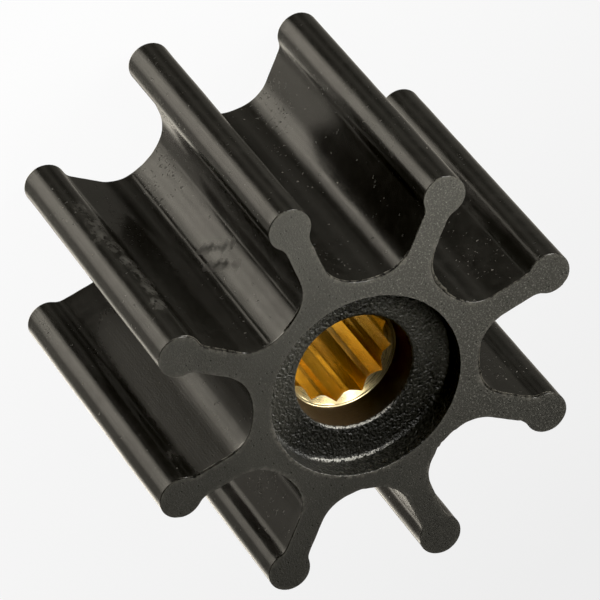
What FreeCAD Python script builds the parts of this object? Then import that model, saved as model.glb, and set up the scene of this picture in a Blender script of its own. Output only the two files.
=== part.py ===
# Flexible-vane pump impeller: one moulded rubber body with eight straight, bulb-tipped vanes,
# and one brass bush with an internal toothed bore, bonded inside it.
# Frame: +Z along the spin axis, origin at the centre of the lower end face, one vane along +X.
# Lengths in millimetres, angles in degrees.
import FreeCAD, Part
import Sketcher
import math
import os

V = FreeCAD.Vector
doc = FreeCAD.newDocument("impeller")

# ---------------------------------------------------------------- driving dimensions
sheet = doc.addObject("Spreadsheet::Sheet", "Dims")
table = [
    # moulded body
    ("tip_radius", 32.5, "vane tips, on the bulb crown"),
    ("body_width", 50.0, "end face to end face"),
    ("vane_count", 8, "vanes"),
    ("neck_half", 1.83, "half the thickness of a vane's neck"),
    ("bulb_radius", 3.08, "round bulb at the vane's tip"),
    ("bulb_fillet", 2.25, "hollow fillet between neck and bulb"),
    ("pocket_corner", 5.74, "fillet between neck and pocket floor"),
    ("pocket_floor", 9.65, "radius of the hollow pocket floor"),
    ("hub_radius", 16.64, "axis to the lowest line of a pocket floor"),
    ("core_radius", 15.5, "plain core under the vane roots"),
    # openings in the end faces
    ("recess_radius", 14.0, "round recess in each end face"),
    ("recess_depth", 4.0, "depth of that recess"),
    ("throat_mouth", 8.7, "tapered throat, radius at the recess floor"),
    ("throat_inner", 8.3, "tapered throat, radius at the bush"),
    # brass bush
    ("bush_setback", 8.85, "end face to the bush's end"),
    ("bush_radius", 10.5, "outside of the bush"),
    ("tooth_count", 12, "teeth in the bore"),
    ("groove_radius", 7.7, "bottom of the V grooves"),
    ("crest_radius", 7.0, "crests of the teeth"),
    ("crest_half_angle", 3.0, "half the angle that a crest spans"),
    ("tooth_phase", 4.4, "turn of the teeth against the vanes"),
    ("leadin_radius", 8.02, "mouth of the 45 degree lead-in"),
]
for row, (alias, value, note) in enumerate(table, start=1):
    sheet.set("A%d" % row, alias)
    sheet.set("B%d" % row, repr(value))
    sheet.set("C%d" % row, note)
    sheet.setAlias("B%d" % row, alias)
doc.recompute()
D = {alias: float(sheet.get(alias)) for alias, _, _ in table}


def origin_plane(body, role):
    for feature in body.Origin.OriginFeatures:
        if feature.Role == role:
            return feature
    raise RuntimeError("no origin feature " + role)


def new_sketch(body, name, role):
    sketch = body.newObject("Sketcher::SketchObject", name)
    sketch.AttachmentSupport = [(origin_plane(body, role), "")]
    sketch.MapMode = "FlatFace"
    return sketch


def dimension(sketch, kind, args, name, expression):
    """A named dimension of the sketch, driven by the sheet."""
    index = sketch.addConstraint(Sketcher.Constraint(kind, *args))
    sketch.renameConstraint(index, name)
    sketch.setExpression("Constraints." + name, expression)
    return index


def polygon(sketch, points):
    """Closed chain of lines with joined ends; returns the index of each line."""
    ids = []
    for a, b in zip(points, points[1:] + points[:1]):
        ids.append(sketch.addGeometry(Part.LineSegment(V(a[0], a[1], 0), V(b[0], b[1], 0)), False))
    for i, g in enumerate(ids):
        sketch.addConstraint(Sketcher.Constraint("Coincident", g, 2, ids[(i + 1) % len(ids)], 1))
    return ids


def circle(sketch, radius, name, expression):
    g = sketch.addGeometry(Part.Circle(V(0, 0, 0), V(0, 0, 1), radius), False)
    sketch.addConstraint(Sketcher.Constraint("Coincident", g, 3, -1, 1))
    dimension(sketch, "Radius", (g, radius), name, expression)
    return g


def arc(cx, cy, r, a, b):
    return Part.ArcOfCircle(Part.Circle(V(cx, cy, 0), V(0, 0, 1), r), a, b)


# ================================================================ moulded rubber body
rubber = doc.addObject("PartDesign::Body", "RubberBody")
rubber.Label = "rubber_body"

core_sketch = new_sketch(rubber, "CoreSketch", "XY_Plane")
circle(core_sketch, D["core_radius"], "core", "Dims.core_radius")
core = rubber.newObject("PartDesign::Pad", "Core")
core.Profile = core_sketch
core.Length = D["body_width"]
core.setExpression("Length", "Dims.body_width")

# One vane with its share of the hub: bulb, neck, corner fillets and the halves of the two
# pocket floors beside it, as far as the planes midway to the neighbouring vanes.
half = math.pi / D["vane_count"]
w, rb, rf1 = D["neck_half"], D["bulb_radius"], D["bulb_fillet"]
rf, rfl = D["pocket_corner"], D["pocket_floor"]
bulb_x = D["tip_radius"] - rb
fil_x = bulb_x - math.sqrt((rb + rf1) ** 2 - (w + rf1) ** 2)
mid = (math.cos(half), math.sin(half))
floor_c = ((D["hub_radius"] + rfl) * mid[0], (D["hub_radius"] + rfl) * mid[1])
cor_y = w + rf
cor_x = floor_c[0] - math.sqrt((rfl - rf) ** 2 - (floor_c[1] - cor_y) ** 2)
a_bulb = math.atan2(w + rf1, fil_x - bulb_x)
a_fil = math.atan2(-(w + rf1), bulb_x - fil_x)
a_cor = math.atan2(cor_y - floor_c[1], cor_x - floor_c[0])
a_mid = half - math.pi
inner = D["core_radius"] - 3.0

vane_sketch = new_sketch(rubber, "VaneSketch", "XY_Plane")
vs = vane_sketch
g_bulb = vs.addGeometry(arc(bulb_x, 0, rb, -a_bulb, a_bulb), False)
g_ufil = vs.addGeometry(arc(fil_x, w + rf1, rf1, -math.pi / 2, a_fil), False)
g_lfil = vs.addGeometry(arc(fil_x, -w - rf1, rf1, -a_fil, math.pi / 2), False)
g_uneck = vs.addGeometry(Part.LineSegment(V(fil_x, w, 0), V(cor_x, w, 0)), False)
g_lneck = vs.addGeometry(Part.LineSegment(V(fil_x, -w, 0), V(cor_x, -w, 0)), False)
g_ucor = vs.addGeometry(arc(cor_x, cor_y, rf, a_cor, -math.pi / 2), False)
g_lcor = vs.addGeometry(arc(cor_x, -cor_y, rf, math.pi / 2, -a_cor), False)
g_uflo = vs.addGeometry(arc(floor_c[0], floor_c[1], rfl, a_mid, a_cor), False)
g_lflo = vs.addGeometry(arc(floor_c[0], -floor_c[1], rfl, -a_cor, -a_mid), False)
hub_u = (D["hub_radius"] * mid[0], D["hub_radius"] * mid[1])
g_ucut = vs.addGeometry(Part.LineSegment(V(hub_u[0], hub_u[1], 0), V(inner * mid[0], inner * mid[1], 0)), False)
g_lcut = vs.addGeometry(Part.LineSegment(V(hub_u[0], -hub_u[1], 0), V(inner * mid[0], -inner * mid[1], 0)), False)
g_back = vs.addGeometry(Part.LineSegment(V(inner * mid[0], inner * mid[1], 0), V(inner * mid[0], -inner * mid[1], 0)), False)
C = Sketcher.Constraint
# the outline is smooth from one pocket floor round the bulb to the other
vs.addConstraint(C("Tangent", g_bulb, 2, g_ufil, 2))
vs.addConstraint(C("Tangent", g_bulb, 1, g_lfil, 1))
vs.addConstraint(C("Tangent", g_ufil, 1, g_uneck, 1))
vs.addConstraint(C("Tangent", g_lfil, 2, g_lneck, 1))
vs.addConstraint(C("Tangent", g_uneck, 2, g_ucor, 2))
vs.addConstraint(C("Tangent", g_lneck, 2, g_lcor, 1))
vs.addConstraint(C("Tangent", g_ucor, 1, g_uflo, 2))
vs.addConstraint(C("Tangent", g_lcor, 2, g_lflo, 1))
vs.addConstraint(C("Coincident", g_uflo, 1, g_ucut, 1))
vs.addConstraint(C("Coincident", g_lflo, 2, g_lcut, 1))
vs.addConstraint(C("Coincident", g_ucut, 2, g_back, 1))
vs.addConstraint(C("Coincident", g_lcut, 2, g_back, 2))
# symmetric about the vane's own centre line
vs.addConstraint(C("PointOnObject", g_bulb, 3, -1))
vs.addConstraint(C("Horizontal", g_uneck))
vs.addConstraint(C("Horizontal", g_lneck))
vs.addConstraint(C("Equal", g_ufil, g_lfil))
vs.addConstraint(C("Equal", g_ucor, g_lcor))
vs.addConstraint(C("Equal", g_uflo, g_lflo))
vs.addConstraint(C("Symmetric", g_back, 1, g_back, 2, -1))
# both cuts lie on the planes midway between two vanes
vs.addConstraint(C("PointOnObject", -1, 1, g_ucut))
vs.addConstraint(C("PointOnObject", -1, 1, g_lcut))
vs.addConstraint(C("PointOnObject", g_uflo, 3, g_ucut))
vs.addConstraint(C("PointOnObject", g_lflo, 3, g_lcut))
dimension(vs, "Radius", (g_bulb, rb), "bulb", "Dims.bulb_radius")
dimension(vs, "Radius", (g_ufil, rf1), "bulb_fillet", "Dims.bulb_fillet")
dimension(vs, "Radius", (g_ucor, rf), "corner", "Dims.pocket_corner")
dimension(vs, "Radius", (g_uflo, rfl), "floor", "Dims.pocket_floor")
dimension(vs, "DistanceX", (-1, 1, g_bulb, 3, bulb_x), "bulb_centre", "Dims.tip_radius - Dims.bulb_radius")
dimension(vs, "DistanceY", (-1, 1, g_uneck, 1, w), "neck_upper", "Dims.neck_half")
dimension(vs, "DistanceY", (g_lneck, 1, -1, 1, w), "neck_lower", "Dims.neck_half")
dimension(vs, "DistanceX", (-1, 1, g_back, 1, inner * mid[0]), "root_x", "(Dims.core_radius - 3) * cos(180 deg / Dims.vane_count)")
dimension(vs, "DistanceY", (-1, 1, g_back, 1, inner * mid[1]), "root_y", "(Dims.core_radius - 3) * sin(180 deg / Dims.vane_count)")
dimension(vs, "DistanceX", (-1, 1, g_uflo, 1, hub_u[0]), "floor_low_upper", "Dims.hub_radius * cos(180 deg / Dims.vane_count)")
dimension(vs, "DistanceX", (-1, 1, g_lflo, 2, hub_u[0]), "floor_low_lower", "Dims.hub_radius * cos(180 deg / Dims.vane_count)")

vane = rubber.newObject("PartDesign::Pad", "Vane")
vane.Profile = vane_sketch
vane.Length = D["body_width"]
vane.setExpression("Length", "Dims.body_width")
doc.recompute()

vanes = rubber.newObject("PartDesign::PolarPattern", "Vanes")
vanes.Originals = [vane]
vanes.Axis = (origin_plane(rubber, "Z_Axis"), [""])
vanes.Angle = 360.0
vanes.Occurrences = int(D["vane_count"])
vanes.setExpression("Occurrences", "Dims.vane_count")
rubber.Tip = vanes
doc.recompute()
solid_before = vanes.Shape.Volume

# Bore, turned about the axis: a round recess in each end, a tapered throat and the seat that
# grips the bush, whose ends are covered by the body as far as the throat.
W = D["body_width"]
profile = [
    (0.0, 0.0), (D["recess_radius"], 0.0), (D["recess_radius"], D["recess_depth"]),
    (D["throat_mouth"], D["recess_depth"]), (D["throat_inner"], D["bush_setback"]),
    (D["bush_radius"], D["bush_setback"]), (D["bush_radius"], W - D["bush_setback"]),
    (D["throat_inner"], W - D["bush_setback"]), (D["throat_mouth"], W - D["recess_depth"]),
    (D["recess_radius"], W - D["recess_depth"]), (D["recess_radius"], W), (0.0, W),
]
names = [
    (None, None), ("Dims.recess_radius", None), ("Dims.recess_radius", "Dims.recess_depth"),
    ("Dims.throat_mouth", "Dims.recess_depth"), ("Dims.throat_inner", "Dims.bush_setback"),
    ("Dims.bush_radius", "Dims.bush_setback"), ("Dims.bush_radius", "Dims.body_width - Dims.bush_setback"),
    ("Dims.throat_inner", "Dims.body_width - Dims.bush_setback"),
    ("Dims.throat_mouth", "Dims.body_width - Dims.recess_depth"),
    ("Dims.recess_radius", "Dims.body_width - Dims.recess_depth"),
    ("Dims.recess_radius", "Dims.body_width"), (None, "Dims.body_width"),
]


def turned_profile(sketch, points, exprs):
    """Closed half section whose corners are set, one by one, from the sheet: x is the radius, y the height."""
    ids = polygon(sketch, points)
    for i, ((x, y), (ex, ey)) in enumerate(zip(points, exprs)):
        if ex is None:
            sketch.addConstraint(Sketcher.Constraint("PointOnObject", ids[i], 1, -2))
        else:
            dimension(sketch, "DistanceX", (-1, 1, ids[i], 1, x), "radius_%d" % i, ex)
        if ey is None:
            sketch.addConstraint(Sketcher.Constraint("PointOnObject", ids[i], 1, -1))
        else:
            dimension(sketch, "DistanceY", (-1, 1, ids[i], 1, y), "height_%d" % i, ey)
    return ids


bore_sketch = new_sketch(rubber, "BoreSketch", "XZ_Plane")
turned_profile(bore_sketch, profile, names)
bore = rubber.newObject("PartDesign::Groove", "Bore")
bore.Profile = bore_sketch
bore.ReferenceAxis = (bore_sketch, ["V_Axis"])
bore.Angle = 360.0
rubber.Tip = bore
doc.recompute()
if not bore.Shape.Volume < solid_before - 1000.0:
    raise RuntimeError("the bore cut nothing")

# ================================================================ brass bush
bush = doc.addObject("PartDesign::Body", "SplinedBush")
bush.Label = "splined_bush"

ring_sketch = new_sketch(bush, "RingSketch", "XY_Plane")
circle(ring_sketch, D["bush_radius"], "outside", "Dims.bush_radius")
circle(ring_sketch, D["crest_radius"], "inside", "Dims.crest_radius")
ring_sketch.AttachmentOffset = FreeCAD.Placement(V(0, 0, D["bush_setback"]), FreeCAD.Rotation())
ring_sketch.setExpression(".AttachmentOffset.Base.z", "Dims.bush_setback * 1 mm")
ring = bush.newObject("PartDesign::Pad", "Ring")
ring.Profile = ring_sketch
ring.Length = W - 2 * D["bush_setback"]
ring.setExpression("Length", "Dims.body_width - 2 * Dims.bush_setback")
doc.recompute()
ring_volume = ring.Shape.Volume

# One V groove between two teeth. Its flanks run from the groove's bottom to the edges of
# the two crests, and on inside the bore, where they cut nothing.
beta = math.radians(180.0 / D["tooth_count"] - D["crest_half_angle"])
ex, ey = D["crest_radius"] * math.cos(beta), D["crest_radius"] * math.sin(beta)
fx, fy = ex - 1.2, ey * (1 + 1.2 / (D["groove_radius"] - ex))
groove_sketch = new_sketch(bush, "ToothGrooveSketch", "XY_Plane")
gs = groove_sketch
tri = polygon(gs, [(D["groove_radius"], 0.0), (fx, fy), (fx, -fy)])
gs.addConstraint(Sketcher.Constraint("PointOnObject", tri[0], 1, -1))
gs.addConstraint(Sketcher.Constraint("Symmetric", tri[1], 1, tri[1], 2, -1))
dimension(gs, "DistanceX", (-1, 1, tri[0], 1, D["groove_radius"]), "bottom", "Dims.groove_radius")
edge_x = "Dims.crest_radius * cos((180 / Dims.tooth_count - Dims.crest_half_angle) * 1 deg)"
edge_y = "Dims.crest_radius * sin((180 / Dims.tooth_count - Dims.crest_half_angle) * 1 deg)"
dimension(gs, "DistanceX", (-1, 1, tri[1], 1, fx), "inside_x", edge_x + " - 1.2")
dimension(gs, "DistanceY", (-1, 1, tri[1], 1, fy), "inside_y", edge_y + " * (1 + 1.2 / (Dims.groove_radius - " + edge_x + "))")
gs.AttachmentOffset = FreeCAD.Placement(V(0, 0, 0), FreeCAD.Rotation(V(0, 0, 1), D["tooth_phase"]))
gs.setExpression(".AttachmentOffset.Rotation.Angle", "Dims.tooth_phase * 1 deg")
tooth = bush.newObject("PartDesign::Pocket", "ToothGroove")
tooth.Profile = groove_sketch
tooth.Type = "ThroughAll"
tooth.Midplane = True
doc.recompute()

teeth = bush.newObject("PartDesign::PolarPattern", "Teeth")
teeth.Originals = [tooth]
teeth.Axis = (origin_plane(bush, "Z_Axis"), [""])
teeth.Angle = 360.0
teeth.Occurrences = int(D["tooth_count"])
teeth.setExpression("Occurrences", "Dims.tooth_count")
bush.Tip = teeth
doc.recompute()
teeth_volume = teeth.Shape.Volume
if not teeth_volume < ring_volume - 50.0:
    raise RuntimeError("the tooth grooves cut nothing")

# 45 degree lead-in for the shaft at both ends
low, high = D["bush_setback"], W - D["bush_setback"]
reach = 1.6
lead_sketch = new_sketch(bush, "LeadInSketch", "XZ_Plane")
turned_profile(
    lead_sketch,
    [(D["leadin_radius"] - reach, low), (D["leadin_radius"], low), (D["leadin_radius"] - reach, low + reach)],
    [("Dims.leadin_radius - 1.6", "Dims.bush_setback"), ("Dims.leadin_radius", "Dims.bush_setback"),
     ("Dims.leadin_radius - 1.6", "Dims.bush_setback + 1.6")],
)
lead = bush.newObject("PartDesign::Groove", "LowerLeadIn")
lead.Profile = lead_sketch
lead.ReferenceAxis = (lead_sketch, ["V_Axis"])
lead.Angle = 360.0
bush.Tip = lead
lead2_sketch = new_sketch(bush, "UpperLeadInSketch", "XZ_Plane")
turned_profile(
    lead2_sketch,
    [(D["leadin_radius"] - reach, high), (D["leadin_radius"], high), (D["leadin_radius"] - reach, high - reach)],
    [("Dims.leadin_radius - 1.6", "Dims.body_width - Dims.bush_setback"),
     ("Dims.leadin_radius", "Dims.body_width - Dims.bush_setback"),
     ("Dims.leadin_radius - 1.6", "Dims.body_width - Dims.bush_setback - 1.6")],
)
lead2 = bush.newObject("PartDesign::Groove", "UpperLeadIn")
lead2.Profile = lead2_sketch
lead2.ReferenceAxis = (lead2_sketch, ["V_Axis"])
lead2.Angle = 360.0
bush.Tip = lead2
doc.recompute()
if not lead2.Shape.Volume < teeth_volume - 5.0:
    raise RuntimeError("the lead-ins cut nothing")

# ================================================================ check and write
doc.recompute()
for obj in doc.Objects:
    bad = [s for s in obj.State if s in ("Invalid", "Error")]
    if bad:
        raise RuntimeError("%s is %s" % (obj.Name, bad))
os.makedirs("parts", exist_ok=True)
for piece in (rubber, bush):
    shape = piece.Shape
    if shape.isNull() or not shape.isValid() or len(shape.Solids) != 1:
        raise RuntimeError("%s has no valid single solid" % piece.Label)
    box = shape.BoundBox
    print("%s: volume %.1f mm3, %d faces, x %.2f..%.2f y %.2f..%.2f z %.2f..%.2f" % (
        piece.Label, shape.Volume, len(shape.Faces), box.XMin, box.XMax, box.YMin, box.YMax, box.ZMin, box.ZMax))
    shape.exportStep("parts/%s.step" % piece.Label)
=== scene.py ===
import bpy
import math
import numpy as np
from mathutils import Matrix, Vector
from mathutils.geometry import delaunay_2d_cdt


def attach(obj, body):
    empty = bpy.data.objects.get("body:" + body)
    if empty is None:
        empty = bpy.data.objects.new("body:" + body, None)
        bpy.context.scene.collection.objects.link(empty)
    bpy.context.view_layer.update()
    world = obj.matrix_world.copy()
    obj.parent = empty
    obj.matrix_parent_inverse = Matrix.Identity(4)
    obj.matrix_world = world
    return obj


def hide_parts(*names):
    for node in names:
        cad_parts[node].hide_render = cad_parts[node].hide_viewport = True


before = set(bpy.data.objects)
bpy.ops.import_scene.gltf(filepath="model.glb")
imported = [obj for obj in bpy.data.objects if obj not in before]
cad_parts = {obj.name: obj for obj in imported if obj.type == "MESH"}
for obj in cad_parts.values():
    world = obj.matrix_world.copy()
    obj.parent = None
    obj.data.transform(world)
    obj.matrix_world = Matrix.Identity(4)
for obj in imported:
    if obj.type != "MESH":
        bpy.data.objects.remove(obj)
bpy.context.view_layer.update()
MM = 0.001

# ---------------------------------------------------------------- sizes in millimetres, as on the CAD part
TIP_R, WIDTH = 32.5, 50.0
NECK, BULB_R, FILLET = 1.83, 3.08, 2.25
CORNER, FLOOR_R, HUB_R = 5.74, 9.65, 16.64
RECESS_R, RECESS_D = 14.0, 4.0
MOUTH_R, THROAT_R, SETBACK = 8.7, 8.3, 8.85
BUSH_R, ROOT_R, CREST_R = 10.5, 7.7, 7.0
LEAD_R, CREST_HALF, PHASE = 8.02, 3.0, 4.4
LEAN = [-0.09, -0.11, -0.31, -0.19, 0.28, 0.32, 0.17, -0.07]  # each vane's small moulded lean, degrees

rng = np.random.RandomState(11)
PERM = np.concatenate([rng.permutation(256)] * 4)
GRAD = rng.normal(size=(256, 3))
GRAD /= np.linalg.norm(GRAD, axis=1)[:, None]


def noise(p, scale=1.0, seed=0.0):
    """Smooth seeded noise of points in millimetres, about -1 to 1."""
    p = np.asarray(p, float) * scale + seed * 17.31
    i = np.floor(p).astype(int)
    f = p - i
    i &= 255
    u = f * f * f * (f * (f * 6 - 15) + 10)
    out = 0.0
    for dx in (0, 1):
        for dy in (0, 1):
            for dz in (0, 1):
                h = PERM[PERM[PERM[i[:, 0] + dx] + i[:, 1] + dy] + i[:, 2] + dz]
                g = ((f - np.array([dx, dy, dz])) * GRAD[h]).sum(1)
                w = (u[:, 0] if dx else 1 - u[:, 0]) * (u[:, 1] if dy else 1 - u[:, 1]) * (u[:, 2] if dz else 1 - u[:, 2])
                out = out + w * g
    return out * 1.7


def fbm(p, scale, octaves=3, seed=0.0):
    a, s, out = 1.0, scale, 0.0
    for o in range(octaves):
        out = out + a * noise(p, s, seed + o * 3.7)
        a *= 0.5
        s *= 2.03
    return out / 1.6


def smooth(a, b, x):
    t = np.clip((np.asarray(x, float) - a) / (b - a), 0, 1)
    return t * t * (3 - 2 * t)


# ---------------------------------------------------------------- the outline of one vane, half of it
bulb_x = TIP_R - BULB_R
fil_x = bulb_x - math.sqrt((BULB_R + FILLET) ** 2 - (NECK + FILLET) ** 2)
half_gap = math.radians(22.5)
flo_x, flo_y = (HUB_R + FLOOR_R) * math.cos(half_gap), (HUB_R + FLOOR_R) * math.sin(half_gap)
cor_y = NECK + CORNER
cor_x = flo_x - math.sqrt((FLOOR_R - CORNER) ** 2 - (flo_y - cor_y) ** 2)
a_bulb = math.atan2(NECK + FILLET, fil_x - bulb_x)
a_fil = math.atan2(-(NECK + FILLET), bulb_x - fil_x)
a_cor = math.atan2(cor_y - flo_y, cor_x - flo_x)
a_mid = half_gap - math.pi


def arc(cx, cy, r, a0, a1, n, inside=False):
    a = np.linspace(a0, a1, n, endpoint=False)
    d = np.stack([np.cos(a), np.sin(a)], 1)
    sign = -1.0 if inside else 1.0
    return np.c_[cx + r * d[:, 0], cy + r * d[:, 1], sign * d]


def half_outline():
    """Points x, y, outward normal x, y from the bulb's tip to the middle of the pocket."""
    neck = np.linspace(fil_x, cor_x, 9, endpoint=False)
    parts = [
        arc(bulb_x, 0, BULB_R, 0.0, a_bulb, 13),
        arc(fil_x, NECK + FILLET, FILLET, a_fil, -math.pi / 2, 5, True),
        np.c_[neck, np.full(9, NECK), np.zeros(9), np.ones(9)],
        arc(cor_x, cor_y, CORNER, -math.pi / 2, a_cor + 0.11 / CORNER, 11, True),
        arc(cor_x, cor_y, CORNER, a_cor + 0.11 / CORNER, a_cor, 1, True),
        arc(flo_x, flo_y, FLOOR_R, a_cor, a_cor + 0.11 / FLOOR_R * math.copysign(1, a_mid - a_cor), 1, True),
        arc(flo_x, flo_y, FLOOR_R, a_cor + 0.11 / FLOOR_R * math.copysign(1, a_mid - a_cor), a_mid, 6, True),
        np.array([[HUB_R * math.cos(half_gap), HUB_R * math.sin(half_gap), math.cos(half_gap), math.sin(half_gap)]]),
    ]
    return np.concatenate(parts)


HALF = half_outline()
SEG = np.r_[0, np.cumsum(np.hypot(*np.diff(HALF[:, :2], axis=0).T))]  # run along the half outline, mm
HALF_LEN = SEG[-1]
SEAM = SEG[len(HALF) - 8]  # run at the seam between the corner's and the floor's arc

rows = []
for k in range(8):
    c, s = math.cos(k * math.pi / 4), math.sin(k * math.pi / 4)
    low = HALF[1:-1][::-1] * np.array([1, -1, 1, -1])
    low_s = -SEG[1:-1][::-1]
    pts = np.concatenate([low, HALF[:1], HALF[1:]])
    run = np.concatenate([low_s, SEG[:1], SEG[1:]])
    r = np.hypot(pts[:, 0], pts[:, 1])
    lean = math.radians(LEAN[k]) * smooth(17.0, 27.0, r)
    x = pts[:, 0] * np.cos(lean) - pts[:, 1] * np.sin(lean)
    y = pts[:, 0] * np.sin(lean) + pts[:, 1] * np.cos(lean)
    nx = pts[:, 2] * np.cos(lean) - pts[:, 3] * np.sin(lean)
    ny = pts[:, 2] * np.sin(lean) + pts[:, 3] * np.cos(lean)
    rows.append(np.c_[c * x - s * y, s * x + c * y, c * nx - s * ny, s * nx + c * ny, run, np.full(len(x), k)])
OUT = np.concatenate(rows)  # x, y, nx, ny, run, vane
N_OUT = len(OUT)


def inside_outline(x, y, margin):
    """Whether points are inside the outline by more than the margin."""
    a = np.arctan2(y, x)
    k = np.round(a / (math.pi / 4))
    b = a - k * math.pi / 4
    r = np.hypot(x, y)
    lx, ly = r * np.cos(b), np.abs(r * np.sin(b))
    h = np.interp(lx, HALF[::-1, 0], HALF[::-1, 1])
    ok = np.where(lx > HALF[-1, 0], ly < h - margin, True)
    dist = np.min(np.hypot(lx[:, None] - HALF[None, :, 0], ly[:, None] - HALF[None, :, 1]), axis=1)
    return ok & (dist > margin)


# ---------------------------------------------------------------- mesh helpers
class Mesh:
    def __init__(self):
        self.v, self.f, self.m, self.n = [], [], [], 0
        self.tags = {}

    def add(self, co, **tags):
        i = np.arange(self.n, self.n + len(co))
        self.v.append(np.asarray(co, float))
        for name, value in tags.items():
            self.tags.setdefault(name, []).append((i, np.broadcast_to(value, len(co)).astype(float)))
        self.n += len(co)
        return i

    def quads(self, a, b, mat, flip=False, closed=True):
        """Faces between two rings of the same count."""
        a2, b2 = np.roll(a, -1), np.roll(b, -1)
        q = np.stack([a, a2, b2, b], 1)
        if not closed:
            q = q[:-1]
        if flip:
            q = q[:, ::-1]
        self.f += q.tolist()
        self.m += [mat] * len(q)

    def tris(self, t, mat):
        self.f += t.tolist()
        self.m += [mat] * len(t)

    def build(self, name, mats, sharp=38.0):
        co = np.concatenate(self.v)
        me = bpy.data.meshes.new(name)
        me.from_pydata((co * MM).tolist(), [], self.f)
        me.polygons.foreach_set("material_index", np.array(self.m, dtype=np.int32))
        me.polygons.foreach_set("use_smooth", np.ones(len(self.f), dtype=bool))
        for tag, parts in self.tags.items():
            vals = np.zeros(self.n)
            for i, v in parts:
                vals[i] = v
            at = me.attributes.new(tag, "FLOAT", "POINT")
            at.data.foreach_set("value", vals)
        for m in mats:
            me.materials.append(m)
        me.validate()
        me.set_sharp_from_angle(angle=math.radians(sharp))
        me.update()
        ob = bpy.data.objects.new(name, me)
        bpy.context.scene.collection.objects.link(ob)
        return ob


# ---------------------------------------------------------------- node helpers
class Nodes:
    def __init__(self, name):
        self.mat = bpy.data.materials.new(name)
        self.mat.use_nodes = True
        self.t = self.mat.node_tree
        self.t.nodes.clear()
        self.out = self.t.nodes.new("ShaderNodeOutputMaterial")
        self.bsdf = self.t.nodes.new("ShaderNodeBsdfPrincipled")
        self.t.links.new(self.bsdf.outputs["BSDF"], self.out.inputs["Surface"])
        tc = self.t.nodes.new("ShaderNodeTexCoord")
        mp = self.t.nodes.new("ShaderNodeMapping")
        mp.inputs["Scale"].default_value = (1000.0, 1000.0, 1000.0)
        self.t.links.new(tc.outputs["Object"], mp.inputs["Vector"])
        self.mm = mp.outputs["Vector"]

    def put(self, socket, value):
        if isinstance(value, bpy.types.NodeSocket):
            self.t.links.new(value, socket)
        else:
            socket.default_value = value

    def scaled(self, sx, sy, sz, vec=None):
        n = self.t.nodes.new("ShaderNodeMapping")
        n.inputs["Scale"].default_value = (sx, sy, sz)
        self.put(n.inputs["Vector"], vec or self.mm)
        return n.outputs["Vector"]

    def noise(self, scale, detail=4.0, rough=0.55, vec=None, distort=0.0):
        n = self.t.nodes.new("ShaderNodeTexNoise")
        n.inputs["Scale"].default_value = scale
        n.inputs["Detail"].default_value = detail
        n.inputs["Roughness"].default_value = rough
        n.inputs["Distortion"].default_value = distort
        self.put(n.inputs["Vector"], vec or self.mm)
        return n.outputs["Fac"]

    def voronoi(self, scale, out="Distance", vec=None, feature="F1", rand=1.0):
        n = self.t.nodes.new("ShaderNodeTexVoronoi")
        n.feature = feature
        n.inputs["Scale"].default_value = scale
        n.inputs["Randomness"].default_value = rand
        self.put(n.inputs["Vector"], vec or self.mm)
        return n.outputs[out]

    def warped(self, amount, scale=2.5):
        """The coordinates shaken by noise, so that spots come out irregular."""
        n = self.t.nodes.new("ShaderNodeTexNoise")
        n.inputs["Scale"].default_value = scale
        n.inputs["Detail"].default_value = 2.0
        self.put(n.inputs["Vector"], self.mm)
        v = self.t.nodes.new("ShaderNodeVectorMath")
        v.operation = "MULTIPLY_ADD"
        self.put(v.inputs[0], n.outputs["Color"])
        v.inputs[1].default_value = (amount, amount, amount)
        self.put(v.inputs[2], self.mm)
        return v.outputs[0]

    def math(self, op, a, b=0.0, c=None, clamp=False):
        n = self.t.nodes.new("ShaderNodeMath")
        n.operation = op
        n.use_clamp = clamp
        self.put(n.inputs[0], a)
        self.put(n.inputs[1], b)
        if c is not None:
            self.put(n.inputs[2], c)
        return n.outputs[0]

    def step(self, x, a, b, lo=0.0, hi=1.0):
        """Smooth ramp of x between a and b, from lo to hi."""
        n = self.t.nodes.new("ShaderNodeMapRange")
        n.interpolation_type = "SMOOTHSTEP"
        self.put(n.inputs["Value"], x)
        n.inputs["From Min"].default_value = a
        n.inputs["From Max"].default_value = b
        n.inputs["To Min"].default_value = lo
        n.inputs["To Max"].default_value = hi
        return n.outputs["Result"]

    def lin(self, x, a, b, lo, hi):
        n = self.t.nodes.new("ShaderNodeMapRange")
        self.put(n.inputs["Value"], x)
        n.inputs["From Min"].default_value = a
        n.inputs["From Max"].default_value = b
        n.inputs["To Min"].default_value = lo
        n.inputs["To Max"].default_value = hi
        return n.outputs["Result"]

    def mix(self, fac, a, b):
        n = self.t.nodes.new("ShaderNodeMix")
        n.data_type = "RGBA"
        self.put(n.inputs[0], fac)
        for sock, v in ((n.inputs[6], a), (n.inputs[7], b)):
            self.put(sock, v if isinstance(v, bpy.types.NodeSocket) else (*v, 1.0))
        return n.outputs[2]

    def attr(self, name):
        n = self.t.nodes.new("ShaderNodeAttribute")
        n.attribute_name = name
        return n.outputs["Fac"]

    def xyz(self, vec=None):
        n = self.t.nodes.new("ShaderNodeSeparateXYZ")
        self.put(n.inputs[0], vec or self.mm)
        return n.outputs

    def bump(self, height, dist_mm, strength=1.0, normal=None):
        n = self.t.nodes.new("ShaderNodeBump")
        n.inputs["Strength"].default_value = strength
        n.inputs["Distance"].default_value = dist_mm * MM
        self.put(n.inputs["Height"], height)
        if normal is not None:
            self.put(n.inputs["Normal"], normal)
        return n.outputs["Normal"]


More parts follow.
